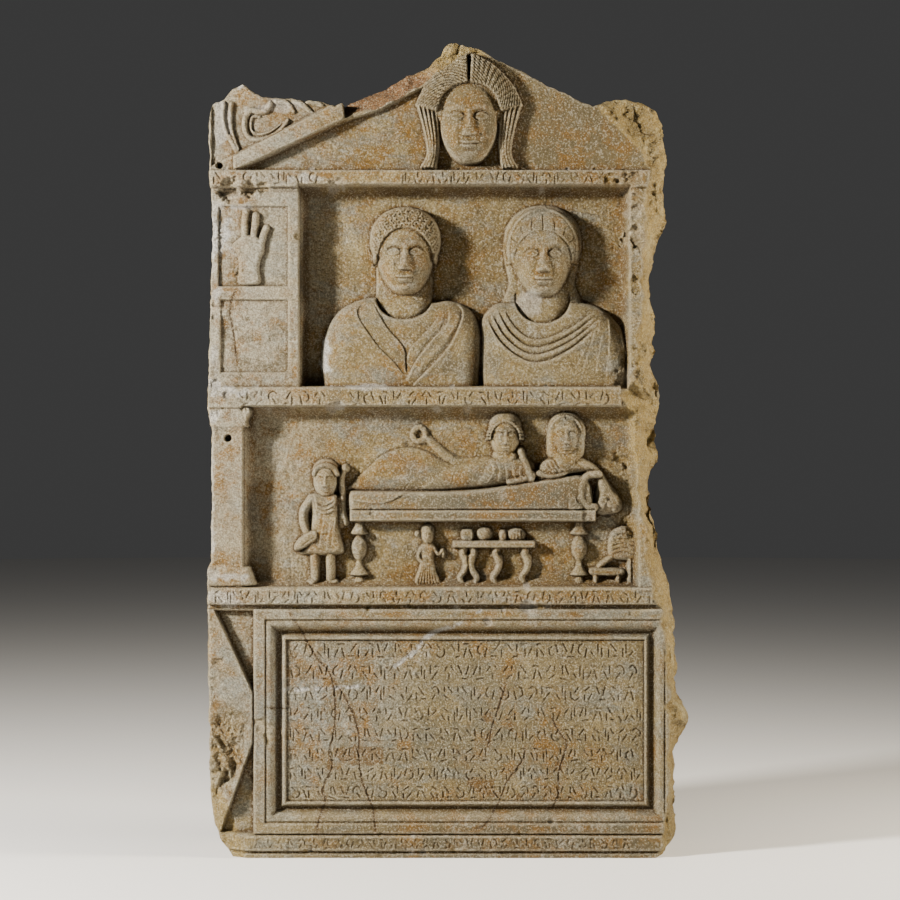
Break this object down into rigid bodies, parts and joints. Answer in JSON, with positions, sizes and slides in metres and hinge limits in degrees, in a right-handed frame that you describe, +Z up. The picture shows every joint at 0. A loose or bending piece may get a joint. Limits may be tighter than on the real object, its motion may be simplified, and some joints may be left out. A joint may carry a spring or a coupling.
{
  "type": "carved stone stele",
  "caption": "Upright marble grave stele with a gabled top, sunk portrait and banquet reliefs, line-carved bands and a moulded tablet with winged ears, broken along one side.",
  "frame": {"origin": "middle of the bounding box's underside, on the surface the stele stands on", "axes": "+Z up, +X to the viewer's right when looking at the carved face, +Y from the carved face to the back"},
  "size_m": [0.972, 0.3012, 1.632],
  "materials": {
    "marble": "weathered, matt, stained ochre and grey"
  },
  "bodies": {
    "root": {"stele": "marble"}
  },
  "joints": []
}
